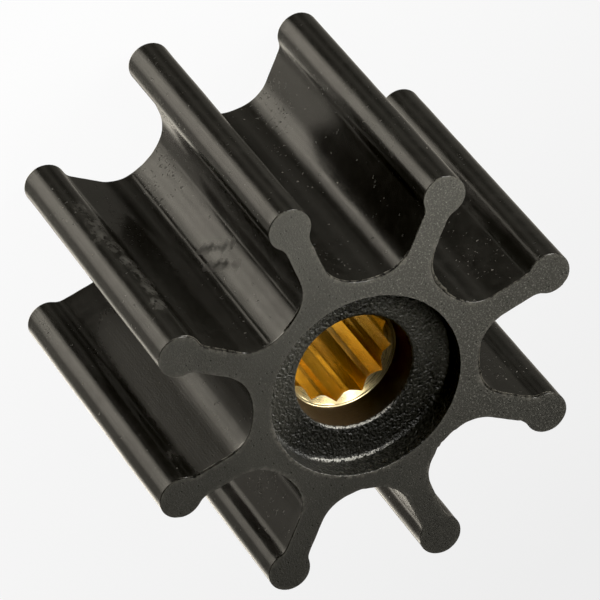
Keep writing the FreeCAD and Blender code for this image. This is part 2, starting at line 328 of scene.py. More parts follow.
def moulded_rubber():
    """Satin black rubber as it leaves the mould, with dust, pits, smudges and fine streaks along the axis."""
    k = Nodes("rubber_moulded")
    b = k.bsdf
    broad = k.noise(0.09, 3.0)
    mid = k.noise(0.55, 4.0)
    fine = k.noise(7.0, 3.0)
    streak = k.noise(1.0, 4.0, vec=k.scaled(2.2, 2.2, 0.05))
    scuff, smear, pits, flash, dusty = (k.attr(n) for n in ("scuff", "smear", "pits", "flash", "dusty"))
    base = k.mix(k.step(broad, 0.3, 0.7), (0.0075, 0.0072, 0.0060), (0.0105, 0.0101, 0.0084))
    base = k.mix(k.math("MULTIPLY", k.step(mid, 0.45, 0.75), 0.5), base, (0.018, 0.0172, 0.0146))
    grain = k.noise(1.0, 5.0, 0.68, vec=k.scaled(1.1, 1.1, 0.7), distort=0.25)
    scuffed = k.math("MULTIPLY", scuff, k.step(grain, 0.36, 0.64))
    base = k.mix(k.math("MULTIPLY", scuffed, 0.90), base, (0.088, 0.085, 0.075))
    base = k.mix(k.math("MULTIPLY", smear, 0.8), base, (0.006, 0.0058, 0.0052))
    ribbed = k.attr("streaks")
    base = k.mix(k.math("MULTIPLY", ribbed, 0.75), base, (0.024, 0.0230, 0.0195))
    # dust: small light specks, denser where they gathered, and sparser bigger ones
    shaken = k.warped(0.9)
    d1, c1 = k.voronoi(1.7, vec=shaken), k.voronoi(1.7, out="Color", vec=shaken)
    d2, c2 = k.voronoi(0.6, vec=shaken), k.voronoi(0.6, out="Color", vec=shaken)
    few = k.math("ADD", c1, k.math("MULTIPLY", dusty, 0.43))
    fewer = k.math("ADD", c2, k.math("MULTIPLY", dusty, 0.18))
    d1 = k.math("MULTIPLY", d1, k.lin(c1, 0.35, 0.75, 1.7, 0.8))
    dust = k.math("MULTIPLY", k.math("MULTIPLY", k.step(d1, 0.17, 0.08), k.step(few, 0.87, 0.93)), k.step(k.noise(2.1, 2.0), 0.35, 0.65, 0.30, 0.85))
    dust = k.math("MAXIMUM", dust, k.math("MULTIPLY", k.step(d2, 0.085, 0.050), k.step(fewer, 0.78, 0.84)))
    base = k.mix(k.math("MULTIPLY", dust, 0.9), base, (0.30, 0.28, 0.245))
    p1, q1 = k.voronoi(2.3, vec=shaken), k.voronoi(2.3, out="Color", vec=shaken)
    pit = k.math("MULTIPLY", k.step(k.math("MULTIPLY", p1, k.lin(q1, 0.35, 0.75, 1.5, 0.8)), 0.32, 0.18), k.step(k.math("ADD", q1, k.math("MULTIPLY", pits, 0.43)), 0.89, 0.94))
    base = k.mix(k.math("MULTIPLY", pit, 0.8), base, (0.006, 0.0058, 0.005))
    lip = k.math("MULTIPLY", flash, k.step(k.noise(1.6, 3.0), 0.35, 0.6))
    base = k.mix(lip, base, (0.17, 0.16, 0.135))
    k.put(b.inputs["Base Color"], base)
    rough = k.lin(broad, 0.3, 0.7, 0.205, 0.240)
    rough = k.math("ADD", rough, k.math("MULTIPLY", pit, 0.25))
    rough = k.math("ADD", rough, k.lin(streak, 0.3, 0.7, -0.012, 0.012))
    rough = k.math("ADD", rough, k.lin(mid, 0.3, 0.7, -0.02, 0.03))
    rough = k.math("ADD", rough, k.math("MULTIPLY", scuffed, 0.22))
    smeared = k.math("MULTIPLY", smear, k.step(k.noise(1.9, 3.0), 0.30, 0.52, 0.5, 1.0))
    rough = k.math("ADD", rough, k.math("MULTIPLY", smeared, 0.50))
    rough = k.math("ADD", rough, k.math("MULTIPLY", ribbed, 0.20))
    rough = k.math("ADD", rough, k.math("MULTIPLY", dust, 0.35), clamp=True)
    k.put(b.inputs["Roughness"], rough)
    b.inputs["IOR"].default_value = 1.5
    b.inputs["Specular IOR Level"].default_value = 0.5
    h = k.math("MULTIPLY", fine, 0.14)
    h = k.math("ADD", h, k.math("MULTIPLY", streak, 0.03))
    h = k.math("ADD", h, k.math("MULTIPLY", ribbed, k.math("ADD", k.math("MULTIPLY", k.noise(1.0, 2.0, vec=k.scaled(4.2, 4.2, 0.09)), 0.9), k.math("MULTIPLY", k.noise(3.6, 3.0, 0.6), 1.5))))
    h = k.math("SUBTRACT", h, k.math("MULTIPLY", pit, 1.8))
    h = k.math("ADD", h, k.math("MULTIPLY", dust, 0.9))
    h = k.math("ADD", h, k.math("MULTIPLY", scuffed, k.lin(grain, 0.3, 0.7, -0.6, 0.9)))
    k.put(b.inputs["Normal"], k.bump(h, 0.035, 0.8))
    return k.mat


def ground_rubber():
    """The end faces: matte, warm grey, finely speckled from grinding."""
    k = Nodes("rubber_end_face")
    b = k.bsdf
    broad = k.noise(0.10, 3.0)
    mid = k.noise(0.8, 4.0)
    grain = k.noise(3.4, 5.0, 0.72)
    flash, scuff = k.attr("flash"), k.attr("scuff")
    xs = k.xyz()
    coarse = k.step(k.math("SUBTRACT", k.math("MULTIPLY", xs[1], -1.0), k.math("MULTIPLY", k.math("ABSOLUTE", xs[0]), 0.25)), -12.0, 14.0, 0.25, 1.0)
    base = k.mix(k.step(broad, 0.3, 0.7), (0.055, 0.0535, 0.0455), (0.068, 0.0660, 0.0565))
    base = k.mix(k.math("MULTIPLY", k.step(mid, 0.4, 0.8), 0.6), base, (0.086, 0.0835, 0.0720))
    base = k.mix(k.math("MULTIPLY", k.step(grain, 0.50, 0.63), k.math("MULTIPLY", coarse, 0.9)), base, (0.190, 0.185, 0.162))
    d1, c1 = k.voronoi(1.8), k.voronoi(1.8, out="Color")
    speck = k.math("MULTIPLY", k.math("MULTIPLY", k.step(d1, 0.20, 0.10), k.step(c1, 0.52, 0.62)), coarse)
    base = k.mix(k.math("MULTIPLY", speck, 0.8), base, (0.34, 0.33, 0.29))
    d3, c3 = k.voronoi(0.45), k.voronoi(0.45, out="Color")
    crumb = k.math("MULTIPLY", k.math("MULTIPLY", k.step(d3, 0.075, 0.05), k.step(c3, 0.56, 0.62)), coarse)
    base = k.mix(k.math("MULTIPLY", crumb, 0.8), base, (0.38, 0.37, 0.33))
    dark = k.math("MULTIPLY", k.step(k.voronoi(1.3), 0.24, 0.12), k.step(k.voronoi(1.3, out="Color"), 0.54, 0.62))
    base = k.mix(k.math("MULTIPLY", dark, 0.7), base, (0.022, 0.021, 0.018))
    # painted light and shade: the end faces are painted darker toward one side and lighter toward the other, a gradient
    # of light across them
    across = k.math("SUBTRACT", k.math("MULTIPLY", xs[0], 0.94), k.math("MULTIPLY", xs[1], 0.34))
    base = k.mix(k.step(across, 14.0, -30.0, 0.0, 0.34), base, (0.028, 0.027, 0.023))
    base = k.mix(k.step(across, 4.0, 32.0, 0.0, 0.22), base, (0.150, 0.147, 0.130))
    # moulding flash lightens the outer edge; along one side of the recess rim the same mix paints a highlight
    lip = k.math("MULTIPLY", flash, k.step(k.noise(1.6, 3.0), 0.35, 0.6))
    base = k.mix(lip, base, (0.19, 0.18, 0.155))
    k.put(b.inputs["Base Color"], base)
    k.put(b.inputs["Roughness"], k.lin(mid, 0.3, 0.7, 0.66, 0.82))
    b.inputs["IOR"].default_value = 1.5
    b.inputs["Specular IOR Level"].default_value = 0.35
    h = k.math("ADD", k.math("MULTIPLY", grain, 1.2), k.math("MULTIPLY", k.noise(9.0, 2.0), 0.5))
    h = k.math("SUBTRACT", h, k.math("MULTIPLY", dark, 0.9))
    h = k.math("ADD", h, k.math("MULTIPLY", crumb, 1.2))
    k.put(b.inputs["Normal"], k.bump(h, 0.07, 0.9))
    return k.mat


def eroded_rubber():
    """The recess: near black, leathery from the eroded mould, with a hard sparkle on its grain."""
    k = Nodes("rubber_recess")
    b = k.bsdf
    mid = k.noise(0.6, 3.0)
    lump = k.noise(2.5, 1.5, 0.5)
    crease = k.voronoi(2.5, feature="SMOOTH_F1", vec=k.warped(0.35, 3.0))
    fine = k.noise(5.5, 2.0, 0.6)
    rag = k.attr("flash")
    base = k.mix(k.step(mid, 0.3, 0.7), (0.0200, 0.0197, 0.0160), (0.0300, 0.0295, 0.0242))
    base = k.mix(k.math("MULTIPLY", k.step(lump, 0.50, 0.66), k.lin(fine, 0.35, 0.65, 0.2, 0.9)), base, (0.105, 0.103, 0.085))
    # painted shade: the creases of the grain are painted darker
    base = k.mix(k.math("MULTIPLY", k.step(crease, 0.42, 0.62), 0.75), base, (0.0050, 0.0049, 0.0040))
    # painted shade and light: the wall is painted darker on one side, and the floor is painted lighter toward two sides
    # and darker toward a third
    xs = k.xyz()

    def toward(az, near, far, amount):
        a = math.radians(az)
        return k.step(k.math("ADD", k.math("MULTIPLY", xs[0], math.cos(a)), k.math("MULTIPLY", xs[1], math.sin(a))), near, far, 0.0, amount)

    low = k.step(k.math("ABSOLUTE", k.math("SUBTRACT", xs[2], 25.0)), 21.65, 21.25)
    wall = k.math("SUBTRACT", 1.0, low)
    base = k.mix(k.math("MULTIPLY", wall, toward(-55, -9.0, 6.0, 0.85)), base, (0.0050, 0.0049, 0.0042))
    base = k.mix(k.math("MULTIPLY", low, toward(150, 3.5, 9.5, 0.62)), base, (0.0060, 0.0059, 0.0050))
    base = k.mix(k.math("MULTIPLY", k.math("MULTIPLY", low, toward(48, 4.0, 11.5, 0.50)), k.lin(fine, 0.35, 0.65, 0.4, 1.0)), base, (0.155, 0.151, 0.128))
    base = k.mix(k.math("MULTIPLY", low, toward(-75, 5.0, 11.0, 0.22)), base, (0.155, 0.151, 0.128))
    # painted highlight: light ragged arcs on the recess corner and the mouth's lip, where the flash attribute is set
    painted_highlight = k.math("MULTIPLY", k.step(rag, 0.18, 0.60), k.step(k.math("ADD", k.noise(3.4, 3.0, 0.65), k.math("MULTIPLY", rag, 0.13)), 0.54, 0.64))
    base = k.mix(k.math("MULTIPLY", painted_highlight, 0.92), base, (0.60, 0.59, 0.54))
    k.put(b.inputs["Base Color"], base)
    k.put(b.inputs["Roughness"], k.math("SUBTRACT", k.lin(fine, 0.3, 0.7, 0.26, 0.42), k.math("MULTIPLY", rag, 0.12)))
    b.inputs["IOR"].default_value = 1.5
    b.inputs["Specular IOR Level"].default_value = 0.5
    h = k.math("SUBTRACT", k.math("MULTIPLY", lump, 1.0), k.math("MULTIPLY", crease, 0.75))
    h = k.math("ADD", h, k.math("MULTIPLY", fine, 0.16))
    h = k.math("MULTIPLY", h, k.lin(rag, 0.0, 1.0, 1.0, 0.35))
    k.put(b.inputs["Normal"], k.bump(h, 0.24, 1.0))
    return k.mat


def throat_rubber():
    """The throat's wall: smooth and black."""
    k = Nodes("rubber_throat")
    b = k.bsdf
    mid = k.noise(0.9, 4.0)
    rag = k.attr("flash")
    grain = k.noise(4.0, 4.0, 0.65)
    base = k.mix(k.step(mid, 0.3, 0.7), (0.0030, 0.0028, 0.0024), (0.0070, 0.0066, 0.0056))
    # painted light: one side of the throat wall is painted lighter and brown
    xs = k.xyz()
    across = k.math("ADD", k.math("MULTIPLY", xs[0], -0.515), k.math("MULTIPLY", xs[1], 0.857))
    base = k.mix(k.math("MULTIPLY", k.step(across, 2.5, 8.3, 0.0, 1.0), k.step(grain, 0.25, 0.60, 0.5, 1.0)), base, (0.062, 0.040, 0.020))
    # the lip is lighter where the flash attribute is set; next to the mouth this carries the painted highlight of the
    # mouth's arc
    base = k.mix(k.math("MULTIPLY", rag, k.step(grain, 0.42, 0.62)), base, (0.09, 0.088, 0.075))
    k.put(b.inputs["Base Color"], base)
    k.put(b.inputs["Roughness"], k.lin(grain, 0.3, 0.7, 0.40, 0.55))
    b.inputs["IOR"].default_value = 1.5
    b.inputs["Specular IOR Level"].default_value = 0.22
    h = k.math("ADD", k.math("MULTIPLY", grain, 0.8), k.math("MULTIPLY", k.noise(1.0, 3.0, vec=k.scaled(0.6, 0.6, 3.0)), 0.5))
    k.put(b.inputs["Normal"], k.bump(h, 0.05, 0.8))
    return k.mat


def brass(name, kind):
    """Yellow brass: bore with lengthwise broaching marks, lead-in and end face with turning marks."""
    k = Nodes(name)
    b = k.bsdf
    mid = k.noise(0.7, 3.0)
    x, y, z = k.xyz()[0], k.xyz()[1], k.xyz()[2]
    shade, crest = k.attr("shade"), k.attr("crest")
    if kind == "bore":
        marks = k.noise(1.0, 3.0, 0.6, vec=k.scaled(6.0, 6.0, 0.10))
        light, dark = (0.96, 0.69, 0.20), (0.88, 0.60, 0.16)
        lo, hi, deep = 0.150, 0.200, 0.003
    else:
        rad = k.math("SQRT", k.math("ADD", k.math("MULTIPLY", x, x), k.math("MULTIPLY", y, y)))
        comb = k.t.nodes.new("ShaderNodeCombineXYZ")
        k.put(comb.inputs[0], k.math("MULTIPLY", rad, 14.0))
        k.put(comb.inputs[1], k.math("MULTIPLY", z, 14.0))
        marks = k.noise(1.0, 3.0, 0.6, vec=comb.outputs[0])
        light, dark = (0.95, 0.78, 0.42), (0.88, 0.67, 0.30)
        lo, hi, deep = 0.22, 0.32, 0.010
    tarnish = k.step(k.noise(0.35, 3.0), 0.45, 0.75)
    base = k.mix(k.step(mid, 0.3, 0.72), light, dark)
    base = k.mix(k.math("MULTIPLY", tarnish, 0.22), base, (0.50, 0.29, 0.07))
    specks = k.math("MULTIPLY", k.step(k.voronoi(1.0), 0.13, 0.08), k.step(k.voronoi(1.0, out="Color"), 0.60, 0.66))
    base = k.mix(k.math("MULTIPLY", specks, 0.7), base, (0.10, 0.06, 0.02))
    # painted shade: where the shade attribute is set, the brass is painted dark brown
    painted_facet_shade = k.math("MULTIPLY", shade, k.step(k.noise(1.0, 3.0, 0.6, vec=k.scaled(2.0, 2.0, 0.25)), 0.2, 0.7, 0.88, 1.08), clamp=True)
    base = k.mix(painted_facet_shade, base, (0.050, 0.024, 0.006))
    edge = k.attr("edge")
    base = k.mix(k.math("MULTIPLY", edge, 0.7), base, (1.0, 0.87, 0.56))
    k.put(b.inputs["Base Color"], base)
    b.inputs["Metallic"].default_value = 1.0
    rough = k.math("ADD", k.lin(marks, 0.3, 0.7, lo, hi), k.math("MULTIPLY", tarnish, 0.06))
    rough = k.math("ADD", rough, k.math("MULTIPLY", crest, 0.04), clamp=True)
    k.put(b.inputs["Roughness"], rough)
    k.put(b.inputs["Normal"], k.bump(marks, deep, 0.6))
    return k.mat


M_FLANK, M_END, M_RECESS, M_THROAT = moulded_rubber(), ground_rubber(), eroded_rubber(), throat_rubber()
M_BORE, M_TURNED = brass("brass_bore", "bore"), brass("brass_turned", "turned")


# ---------------------------------------------------------------- the rubber body
def blob(run, z, vane, spots):
    """Soft spots on a vane's flank: vane, run along the outline, z, half length of run, half length in z, strength."""
    out = np.zeros(len(run))
    for v, s0, z0, ds, dz, a in spots:
        d = np.hypot((run - s0) / ds, (z - z0) / dz)
        out = np.maximum(out, a * (vane == v) * smooth(1.0, 0.35, d))
    return out


SCUFFS = [
    (1, -4.2, 13.0, 1.5, 2.2, 0.8), (1, -4.4, 17.5, 1.7, 2.6, 1.0), (1, -3.6, 21.0, 1.6, 2.4, 1.0), (1, -4.6, 24.5, 1.7, 2.6, 0.9),
    (1, -5.0, 28.5, 1.9, 2.4, 1.0), (1, -5.4, 32.5, 1.7, 2.6, 1.0), (1, -4.9, 36.5, 1.6, 2.2, 0.9), (1, -4.4, 40.5, 1.6, 2.6, 1.0),
    (1, -7.5, 30.0, 1.2, 5.0, 0.5), (2, -7.3, 43.6, 1.2, 1.8, 0.9),
    (0, 4.5, 34.0, 0.45, 11.0, 0.5), (7, -2.5, 44.0, 1.0, 2.5, 0.5), (6, 11.5, 40.0, 3.0, 6.0, 0.12), (0, -8.0, 44.0, 3.5, 4.0, 0.15),
]
SMEARS = [
    (1, -19.2, 24.2, 1.4, 0.9, 0.8), (1, -20.2, 25.0, 1.4, 1.0, 0.9), (1, -21.3, 25.8, 1.4, 1.0, 0.9), (0, 21.7, 26.4, 1.4, 1.0, 0.9), (0, 20.6, 27.3, 1.4, 0.9, 0.8), (0, 19.4, 28.4, 1.2, 0.9, 0.6),
    (1, -18.4, 28.0, 1.2, 0.9, 0.7), (1, -19.4, 29.0, 1.4, 1.0, 0.9), (1, -20.6, 30.1, 1.4, 1.0, 0.9), (1, -21.6, 30.9, 1.2, 0.9, 0.7), (0, 21.5, 31.5, 1.2, 0.9, 0.7), (0, 20.7, 32.2, 1.0, 0.8, 0.5),
]
PITS = [
    (1, -19.7, 6.0, 2.2, 9.0, 1.0), (0, 19.5, 6.0, 2.2, 9.0, 0.9), (7, 14.5, 5.0, 5.0, 8.0, 0.8), (2, -3.5, 4.0, 1.2, 5.0, 0.8), (3, -12.0, 38.0, 4.0, 9.0, 0.5),
    (1, -12.0, 14.0, 4.0, 12.0, 0.4), (5, 12.0, 40.0, 4.0, 8.0, 0.5), (4, 12.0, 20.0, 5.0, 12.0, 0.4), (6, -12.0, 20.0, 5.0, 12.0, 0.4),
]
DUST = [
    (7, 18.2, 16.0, 2.0, 12.0, 1.0), (6, 11.5, 40.0, 5.0, 9.0, 1.0), (7, -14.0, 42.0, 5.0, 8.0, 0.9), (2, -12.5, 32.0, 4.0, 14.0, 0.5), (3, -12.0, 42.0, 5.0, 8.0, 0.15),
    (7, -1.0, 32.0, 3.0, 16.0, 0.5), (0, -18.0, 44.0, 5.0, 5.0, 0.8), (5, 10.0, 42.0, 6.0, 8.0, 0.6), (6, -10.0, 25.0, 7.0, 20.0, 0.5), (4, -8.0, 30.0, 8.0, 18.0, 0.4),
]
STREAKS = [(2, -11.8, 34.0, 4.6, 34.0, 1.0), (7, 4.0, 30.0, 3.5, 22.0, 0.15)]
FLASH = [
    (0, -22.0, -9.0, 0.07), (7, 15.0, 22.0, 0.07), (1, -22.0, -5.0, 0.04), (0, 16.0, 22.0, 0.04), (2, -22.0, -6.0, 0.04),
    (7, -22.0, -12.0, 0.04), (6, 12.0, 22.0, 0.04), (6, -22.0, -12.0, 0.04), (5, 5.0, 22.0, 0.05), (4, -5.3, -4.3, 0.15),
    (7, 1.5, 2.3, 0.10), (3, -22.0, -14.0, 0.05), (2, 12.0, 22.0, 0.05), (4, 9.0, 19.0, 0.05),
]
LEDGES = [
    (7, -22.0, -10.5, 0.60), (6, 17.0, 22.0, 0.30), (5, 9.0, 22.0, 0.45), (6, -22.0, -15.0, 0.40), (5, 5.0, 10.5, 0.30),
    (1, -15.0, -4.0, 0.28), (0, -22.0, -11.0, 0.22), (7, 14.0, 22.0, 0.22), (0, 17.0, 22.0, 0.2), (3, -22.0, -16.0, 0.20), (4, 10.0, 18.0, 0.25), (2, -16.0, -6.0, 0.20),
]
NICKS = [
    (4, 20.6, 1.7, 0.22), (5, -20.3, 1.5, 0.18), (3, 20.7, 1.1, 0.15), (5, -8.2, 0.5, 0.2), (2, 3.2, 0.6, 0.10), (6, -3.4, 0.5, 0.08),
]


def flash_amount(run, vane, x, y, top):
    """How far the moulding flash stands out at the end edge, mm."""
    p = np.c_[x, y, np.full(len(x), 60.0 if top else -20.0)]
    rag = 0.55 + 0.9 * fbm(p, 0.8, 3, 5.0)
    keep = smooth(4.0, 8.5, np.abs(run))
    amount = 0.03 * np.clip(rag, 0, 2) * keep
    for v, s0, s1, a in FLASH if top else []:
        inside = (vane == v) * smooth(s0 - 0.6, s0 + 0.4, run) * smooth(s1 + 0.6, s1 - 0.4, run)
        amount = amount + a * inside * np.clip(rag, 0.25, 1.8)
    return amount


def ledge_width(run, vane, x, y):
    """Width of the thin film of flash left just below the end edge, mm."""
    out = np.zeros(len(run))
    for v, s0, s1, a in LEDGES:
        t = np.clip((run - s0) / (s1 - s0), 0, 1)
        if s0 < -21:
            t = 0.5 + 0.5 * t
        elif s1 > 21:
            t = 0.5 * t
        out = np.maximum(out, (vane == v) * (run > s0) * (run < s1) * a * np.sin(math.pi * t) ** 0.6)
    return out * (0.9 + 0.13 * noise(np.c_[x, y, np.full(len(x), 80.0)], 0.9, 70.0))


def seam_height(run, vane, p):
    """The thin mould line that stands up along each pocket, clearest between vanes 0 and 1, mm."""
    level = np.full(len(run), 0.010)
    level = np.where((vane == 1) & (run < 0), 0.030, level)
    level = np.where((vane == 0) & (run > 0), 0.018, level)
    return level * (0.5 + 0.5 * smooth(-0.4, 0.5, noise(p * np.array([1, 1, 0.5]), 0.35, 61.0)))


def rubber_body():
    m = Mesh()
    x, y, nx, ny, run, vane = OUT.T
    r_out = np.hypot(x, y)

    def ring(z, off, cut=0.0, **tags):
        """A ring round the outline at height z, moved out along the outline's normal."""
        zz = np.full(N_OUT, z) if np.isscalar(z) else z
        p = np.c_[x + nx * off, y + ny * off, zz]
        wave = 0.045 * fbm(p, 0.11, 2, 1.0) + 0.012 * noise(p * np.array([1, 1, 0.35]), 0.9, 2.0)
        fade = smooth(0.0, 1.2, np.minimum(zz, WIDTH - zz))
        seam = (np.abs(np.abs(run) - SEAM) < 0.03) * fade * seam_height(run, vane, p)
        w = np.minimum(wave, 0.02) * fade - 0.02 * fade + seam
        p[:, 0] += nx * w
        p[:, 1] += ny * w
        rr = np.hypot(p[:, 0], p[:, 1])
        lim = np.minimum(1.0, (TIP_R - 0.012) / rr)
        p[:, :2] *= lim[:, None]
        t = dict(
            scuff=blob(run, zz, vane, SCUFFS),
            smear=blob(run, zz, vane, SMEARS),
            pits=np.clip(blob(run, zz, vane, PITS) + 0.2 * smooth(0.2, 0.9, fbm(p, 0.15, 2, 55.0)), 0, 1),
            streaks=blob(run, zz, vane, STREAKS),
            dusty=np.clip(blob(run, zz, vane, DUST) + 0.25 * smooth(0.1, 0.9, fbm(p, 0.12, 2, 51.0)), 0, 1),
        )
        t.update(tags)
        return m.add(p, **t)

    z_in = [0.52, 0.95, 1.6, 2.4]
    z_mid = np.r_[np.linspace(3.2, 22.6, 15), np.linspace(23.2, 33.0, 19), np.linspace(34.2, WIDTH - 3.2, 10)].tolist()
    stack = []
    ends = {}
    for top in (False, True):
        f = flash_amount(run, vane, x, y, top)
        p = np.c_[x, y, np.full(N_OUT, 40.0 if top else 7.0)]
        c = 0.05 + 0.035 * noise(p, 0.7, 8.0)
        nick = np.zeros(N_OUT)
        if top:
            for v, s0, half, depth in NICKS:
                d = np.abs(run - s0) / half
                nick = np.maximum(nick, (vane == v) * depth * smooth(1.0, 0.5, d) * np.clip(0.45 + 1.1 * noise(p, 2.3, 9.0), 0.0, 1.25))
        zz = lambda d: (WIDTH - d) if top else d
        lip = np.clip(f / 0.09, 0.3, 1)
        e0 = ring(zz(0.004 + nick * 0.25), f - c - nick, flash=lip)
        e1 = ring(zz(0.05 + np.clip(c, 0, 1) + nick * 0.6), f - nick * 0.5, flash=lip)
        e2 = ring(zz(0.15 + np.clip(c, 0, 1) + nick * 1.0), f * 0.12, flash=lip * 0.5)
        ends[top] = e0
        rows_here = [e0, e1, e2]
        g = ledge_width(run, vane, x, y) if top else np.zeros(N_OUT)
        on = np.clip(g / 0.08, 0, 1)
        cc = np.clip(c, 0, 1)
        for dz, part, light in ((0.20, 0.10, 0.1), (0.235, 1.0, 1.0), (0.30, 1.0, 0.9), (0.345, 0.0, 0.1)):
            rows_here.append(ring(zz(dz + cc + nick * 0.3), g * part, flash=on * light))
        stack.append(rows_here)
    rows = stack[0] + [ring(z, 0.0, flash=0.0) for z in z_in + z_mid + [WIDTH - z for z in z_in[::-1]]] + stack[1][::-1]
    for a, b in zip(rows[:-1], rows[1:]):
        m.quads(a, b, 0)

    # the end faces, the recesses and the throats
    n = 360
    ang = np.arange(n) * 2 * math.pi / n
    ca, sa = np.cos(ang), np.sin(ang)
    step = 0.5
    gx, gy = np.meshgrid(np.arange(-33, 33, step), np.arange(-33, 33, step * 0.866))
    gx = gx + (np.arange(gx.shape[0]) % 2)[:, None] * step / 2
    pts = np.c_[gx.ravel(), gy.ravel()] + rng.uniform(-0.09, 0.09, (gx.size, 2))
    pts = pts[(np.hypot(*pts.T) > RECESS_R + 0.34) & (np.hypot(*pts.T) < TIP_R)]
    pts = pts[inside_outline(pts[:, 0], pts[:, 1], 0.42)]
    inner = {}
    for top in (False, True):
        sgn = 1.0 if top else -1.0
        zed = lambda d: (WIDTH - d) if top else d

        def circle(r, depth, **tags):
            rr = np.broadcast_to(r, n)
            return m.add(np.c_[rr * ca, rr * sa, np.broadcast_to(zed(depth), n)], **tags)

        around = np.c_[ca * 10, sa * 10, np.full(n, 3.0 + sgn)]
        chip = 0.05 + 0.06 * np.abs(noise(around, 1.3, 4.0))
        # painted highlight: a light line along one side of the recess rim on the top end, set through the flash
        # attribute
        rim = circle(RECESS_R + chip, 0.004, flash=0.25 + 0.75 * (smooth(60, 85, np.degrees(ang)) * smooth(190, 160, np.degrees(ang)) if top else 0.0))
        grid_n = len(pts)
        wav = 0.006 + 0.010 * np.clip(fbm(np.c_[pts, np.full(grid_n, 9.0 * sgn)], 0.25, 3, 6.0), -0.5, 1.5)
        grid = m.add(np.c_[pts, zed(wav)], flash=0.0, scuff=0.0)
        loop = np.concatenate([np.asarray(m_co(m, ends[top]))[:, :2], np.c_[(RECESS_R + chip) * ca, (RECESS_R + chip) * sa], pts])
        ids = np.concatenate([ends[top], rim, grid])
        e_out = [(i, (i + 1) % N_OUT) for i in range(N_OUT)]
        e_in = [(N_OUT + i, N_OUT + (i + 1) % n) for i in range(n)]
        res = delaunay_2d_cdt([Vector(p) for p in loop], e_out + e_in, [], 1, 1e-7, True)
        back = np.array([o[0] for o in res[3]])
        tri = within(back[np.array([t for t in res[2]])], {frozenset(e) for e in e_out + e_in}, N_OUT + n)
        a, b, c3 = loop[tri[:, 0]], loop[tri[:, 1]], loop[tri[:, 2]]
        area = (b[:, 0] - a[:, 0]) * (c3[:, 1] - a[:, 1]) - (b[:, 1] - a[:, 1]) * (c3[:, 0] - a[:, 0])
        tri = np.where((area * sgn > 0)[:, None], tri, tri[:, ::-1])
        m.tris(ids[tri], 1)

        # wall of the recess
        prev = rim
        relief = lambda p: 0.06 * fbm(p, 1.7, 3, 20.0) + 0.05 * np.abs(noise(p, 2.7, 21.0))
        depths = [0.06, 0.2, 0.45, 0.75, 1.05, 1.35, 1.65, 1.95, 2.25, 2.55, 2.85, 3.1]
        for d in depths:
            p = np.c_[ca * RECESS_R, sa * RECESS_R, np.full(n, zed(d))]
            w = 0.5 * relief(p) * smooth(0.05, 0.5, d) + (chip * 0.5 if d < 0.1 else 0.0)
            cur = circle(RECESS_R - 0.02 + w, d, flash=0.0)
            m.quads(prev, cur, 2, flip=not top)
            prev = cur
        # the corner and the floor of the recess, rough
        corner = 0.75
        profile = [(RECESS_R - corner + corner * math.cos(q), RECESS_D - corner + corner * math.sin(q), 1.0) for q in np.radians((10, 22, 34, 46, 57, 68, 80))]
        profile += [(r, RECESS_D, 0.0) for r in np.linspace(RECESS_R - corner - 0.05, MOUTH_R + 0.62, 20)]
        turn = np.degrees(ang)
        # painted highlight: the corner and the mouth get light arcs on one side only, passed on in the flash attribute
        corner_painted_highlight = np.maximum(smooth(118, 142, turn) * smooth(200, 154, turn), 0.12)
        mouth_painted_highlight = np.maximum(smooth(104, 146, turn) * smooth(222, 176, turn), 0.12)
        for j, (r, d0, rag) in enumerate(profile):
            p = np.c_[ca * r, sa * r, np.full(n, zed(d0))]
            d = d0 - 0.02 + relief(p) * (1.0 if rag < 0.5 else 0.7)
            cur = circle(r + (0.3 * relief(p) if rag > 0.5 else 0.0), d, flash=corner_painted_highlight * (rag if 2 <= j <= 4 else 0.3 * rag))
            m.quads(prev, cur, 2, flip=not top)
            prev = cur
        # ragged mouth and the throat
        rag_r = 0.05 * fbm(around, 2.2, 3, 30.0)
        rag_d = 0.045 * fbm(around, 2.6, 3, 31.0)
        lip = 0.40
        for q in np.radians((8, 22, 36, 50, 64, 80)):
            cur = circle(MOUTH_R + lip - lip * math.sin(q) + rag_r, RECESS_D + lip - lip * math.cos(q) + rag_d * math.cos(q), flash=mouth_painted_highlight * (1.0 if q > 0.5 else 0.3))
            m.quads(prev, cur, 2, flip=not top)
            prev = cur
        for d in (0.48, 0.7, 1.0, 1.7, 2.5, 3.4, 4.2, 4.7, 4.85):
            r = MOUTH_R + (THROAT_R - MOUTH_R) * d / (SETBACK - RECESS_D)
            p = np.c_[ca * r, sa * r, np.full(n, zed(4 + d))]
            w = 0.012 * fbm(p, 0.7, 2, 33.0) + rag_r * smooth(1.2, 0.2, d)
            cur = circle(r + w, RECESS_D + d, flash=0.3 if d < 0.5 else 0.0)
            m.quads(prev, cur, 3, flip=not top)
            prev = cur
        seat = circle(BUSH_R + 0.01, SETBACK - 0.005, flash=0.0)
        m.quads(prev, seat, 3, flip=not top)
        inner[top] = seat
    m.quads(inner[True], inner[False], 3)
    return m.build("impeller_rubber", [M_FLANK, M_END, M_RECESS, M_THROAT])


def within(tri, walls, first):
    """The triangles reached from the points numbered first and up without crossing a wall edge."""
    sides = {}
    for t, (a, b, c) in enumerate(tri.tolist()):
        for e in (frozenset((a, b)), frozenset((b, c)), frozenset((c, a))):
            sides.setdefault(e, []).append(t)
    seen = set(np.nonzero((tri >= first).any(1))[0].tolist())
    todo = list(seen)
    while todo:
        a, b, c = tri[todo.pop()].tolist()
        for e in (frozenset((a, b)), frozenset((b, c)), frozenset((c, a))):
            if e not in walls:
                for t in sides[e]:
                    if t not in seen:
                        seen.add(t)
                        todo.append(t)
    return tri[sorted(seen)]


def m_co(m, ids):
    """Positions of vertices already added."""
    return np.concatenate(m.v)[ids]


